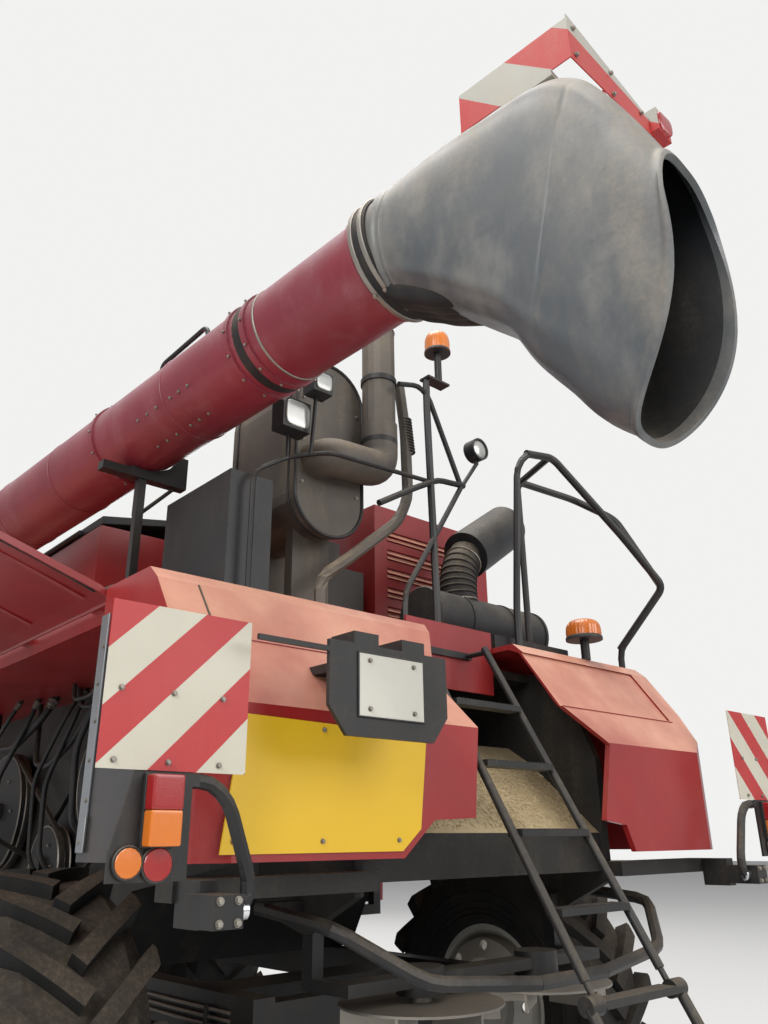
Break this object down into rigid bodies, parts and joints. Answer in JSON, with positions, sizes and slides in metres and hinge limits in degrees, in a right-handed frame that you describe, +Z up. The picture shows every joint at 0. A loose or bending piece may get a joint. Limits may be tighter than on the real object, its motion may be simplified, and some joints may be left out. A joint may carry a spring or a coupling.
{
  "type": "combine harvester",
  "caption": "Self-propelled axial combine harvester without header, with folded unloading tube, raised left side doors, rear ladder and steered rear axle.",
  "frame": {"origin": "on the ground, in the machine's centre plane, straight below the front axle", "axes": "+X forward along the machine, +Y to its left, +Z up from the ground"},
  "size_m": [9.3751, 4.474, 4.1843],
  "materials": {
    "dark_steel": "satin black paint, dusty",
    "red_paint": "glossy red paint, chalked on top faces",
    "tyre_rubber": "matte tread rubber",
    "rim_paint": "pale grey paint",
    "cab_glass": "tinted window glass",
    "chrome_rod": "polished rod",
    "cast_engine": "dusty casting",
    "hot_steel": "heat-stained steel, dusty",
    "black_plastic": "moulded black plastic",
    "grey_plastic": "moulded dark grey plastic",
    "board_white": "reflective sheet",
    "lens": "lamp lens",
    "amber_lens": "amber beacon dome",
    "yellow_paint": "bare yellow sheet",
    "worn_steel": "worn bare steel"
  },
  "bodies": {
    "machine": {"chassis": "dark_steel", "threshing_body": "red_paint", "rear_axle": "dark_steel", "cab": "red_paint", "cab_glass": "cab_glass", "cab_seat": "black_plastic", "grain_tank": "red_paint", "engine_deck": "red_paint", "engine": "cast_engine", "exhaust": "hot_steel", "air_cleaner": "black_plastic", "deck_tank": "black_plastic", "guard_rails": "dark_steel", "swivel": "red_paint", "saddle": "dark_steel", "side_drives": "dark_steel", "rear_panels": "red_paint", "ladder_upper": "dark_steel", "residue_hood": "dark_steel", "spreader_frame": "dark_steel", "lamp_arms": "dark_steel", "warning_boards": "board_white", "tail_lamps": "lens", "plates": "yellow_paint", "number_plate": "board_white", "work_lamps": "black_plastic", "beacons": "amber_lens"},
    "front_wheel_l": {"front_tyre_left": "tyre_rubber", "front_rim_left": "rim_paint"},
    "front_wheel_r": {"front_tyre_right": "tyre_rubber", "front_rim_right": "rim_paint"},
    "knuckle_l": {"knuckle_left": "dark_steel"},
    "knuckle_r": {"knuckle_right": "dark_steel"},
    "tie": {"tie_rod": "dark_steel"},
    "rear_wheel_l": {"rear_tyre_left": "tyre_rubber", "rear_rim_left": "rim_paint"},
    "rear_wheel_r": {"rear_tyre_right": "tyre_rubber", "rear_rim_right": "rim_paint"},
    "feeder": {"feeder_house": "red_paint", "feeder_chain": "worn_steel"},
    "barrel_l": {"lift_barrel_left": "dark_steel"},
    "barrel_r": {"lift_barrel_right": "dark_steel"},
    "rod_l": {"lift_rod_left": "chrome_rod"},
    "rod_r": {"lift_rod_right": "chrome_rod"},
    "cab_door": {"cab_door": "red_paint"},
    "cab_ladder": {"cab_ladder": "dark_steel"},
    "cover_l": {"tank_cover_left": "black_plastic"},
    "cover_r": {"tank_cover_right": "black_plastic"},
    "unloader": {"unloader_tube": "red_paint", "spout": "grey_plastic", "spout_board": "board_white"},
    "door_lf": {"door_left_front": "red_paint"},
    "door_lr": {"door_left_rear": "red_paint"},
    "door_rf": {"door_right_front": "red_paint"},
    "door_rr": {"door_right_rear": "red_paint"},
    "rear_ladder": {"ladder_lower": "dark_steel"},
    "disc_l": {"spreader_disc_left": "worn_steel"},
    "disc_r": {"spreader_disc_right": "worn_steel"}
  },
  "joints": [
    {"name": "front_spin_l", "type": "hinge", "parent": "machine", "child": "front_wheel_l", "pos_m": [0, 1.36, 0.935], "axis": [0, 1, 0], "continuous": true},
    {"name": "rear_spin_l", "type": "hinge", "parent": "knuckle_l", "child": "rear_wheel_l", "pos_m": [-3.8, 1.4, 0.735], "axis": [0, 1, 0], "continuous": true},
    {"name": "front_spin_r", "type": "hinge", "parent": "machine", "child": "front_wheel_r", "pos_m": [0, -1.36, 0.935], "axis": [0, 1, 0], "continuous": true},
    {"name": "rear_spin_r", "type": "hinge", "parent": "knuckle_r", "child": "rear_wheel_r", "pos_m": [-3.8, -1.4, 0.735], "axis": [0, 1, 0], "continuous": true},
    {"name": "steer_left", "type": "hinge", "parent": "machine", "child": "knuckle_l", "pos_m": [-3.8, 0.93, 0.735], "axis": [0, 0, 1], "range_deg": [-30, 30]},
    {"name": "steer_right", "type": "hinge", "parent": "machine", "child": "knuckle_r", "pos_m": [-3.8, -0.93, 0.735], "axis": [0, 0, 1], "range_deg": [-30, 30]},
    {"name": "tie_rod_turn", "type": "hinge", "parent": "knuckle_l", "child": "tie", "pos_m": [-3.5, 0.93, 0.677], "axis": [0, 0, 1], "range_deg": [-30, 30]},
    {"name": "feeder_lift", "type": "hinge", "parent": "machine", "child": "feeder", "pos_m": [0.72, 0, 1.62], "axis": [0, -1, 0], "range_deg": [-8, 16]},
    {"name": "lift_barrel_turn_l", "type": "hinge", "parent": "machine", "child": "barrel_l", "pos_m": [0.33, 0.48, 0.87], "axis": [0, -1, 0], "range_deg": [-3.55, 6.91]},
    {"name": "lift_rod_slide_l", "type": "slide", "parent": "barrel_l", "child": "rod_l", "axis": [0.996, 0, 0.0891], "range_m": [-0.0989, 0.1959]},
    {"name": "lift_barrel_turn_r", "type": "hinge", "parent": "machine", "child": "barrel_r", "pos_m": [0.33, -0.48, 0.87], "axis": [0, -1, 0], "range_deg": [-3.55, 6.91]},
    {"name": "lift_rod_slide_r", "type": "slide", "parent": "barrel_r", "child": "rod_r", "axis": [0.996, 0, 0.0891], "range_m": [-0.0989, 0.1959]},
    {"name": "cab_door_swing", "type": "hinge", "parent": "machine", "child": "cab_door", "pos_m": [0.2975, 0.9933, 2.81], "axis": [0, 0, 1], "range_deg": [0, 80]},
    {"name": "cab_ladder_swing", "type": "hinge", "parent": "machine", "child": "cab_ladder", "pos_m": [1.095, 1.52, 1.91], "axis": [0, 0, 1], "range_deg": [0, 80]},
    {"name": "cover_left_open", "type": "hinge", "parent": "machine", "child": "cover_l", "pos_m": [-1.48, 0.83, 3.412], "axis": [1, 0, 0], "range_deg": [-95, 0]},
    {"name": "cover_right_open", "type": "hinge", "parent": "machine", "child": "cover_r", "pos_m": [-1.48, -0.83, 3.412], "axis": [1, 0, 0], "range_deg": [0, 95]},
    {"name": "unloader_swing", "type": "hinge", "parent": "machine", "child": "unloader", "pos_m": [-0.06, 1.3712, 3.29823], "axis": [0, 0, 1], "range_deg": [-100, 0]},
    {"name": "door_left_front_lift", "type": "hinge", "parent": "machine", "child": "door_lf", "pos_m": [-1.8, 1.46, 2.4], "axis": [1, 0, 0], "range_deg": [-105, 0]},
    {"name": "door_left_rear_lift", "type": "hinge", "parent": "machine", "child": "door_lr", "pos_m": [-3.5, 1.46, 2.4], "axis": [1, 0, 0], "range_deg": [-105, 0]},
    {"name": "door_right_front_lift", "type": "hinge", "parent": "machine", "child": "door_rf", "pos_m": [-1.8, -1.46, 2.4], "axis": [1, 0, 0], "range_deg": [-105, 0]},
    {"name": "door_right_rear_lift", "type": "hinge", "parent": "machine", "child": "door_rr", "pos_m": [-3.5, -1.46, 2.4], "axis": [1, 0, 0], "range_deg": [-105, 0]},
    {"name": "rear_ladder_fold", "type": "hinge", "parent": "machine", "child": "rear_ladder", "pos_m": [-5.53132, 0, 1.068], "axis": [0, 1, 0], "range_deg": [0, 150]},
    {"name": "disc_spin_l", "type": "hinge", "parent": "machine", "child": "disc_l", "pos_m": [-4.85, 0.33, 1.01], "axis": [0, 0, 1], "continuous": true},
    {"name": "disc_spin_r", "type": "hinge", "parent": "machine", "child": "disc_r", "pos_m": [-4.85, -0.33, 1.01], "axis": [0, 0, 1], "continuous": true}
  ],
  "couplings": [
    {"joint": "steer_right", "follows": "steer_left", "ratio": 1},
    {"joint": "tie_rod_turn", "follows": "steer_left", "ratio": -1},
    {"joint": "lift_barrel_turn_l", "follows": "feeder_lift", "ratio": 0.41935},
    {"joint": "lift_rod_slide_l", "follows": "feeder_lift", "m_per_rad": 0.69421},
    {"joint": "lift_barrel_turn_r", "follows": "feeder_lift", "ratio": 0.41935},
    {"joint": "lift_rod_slide_r", "follows": "feeder_lift", "m_per_rad": 0.69421}
  ]
}
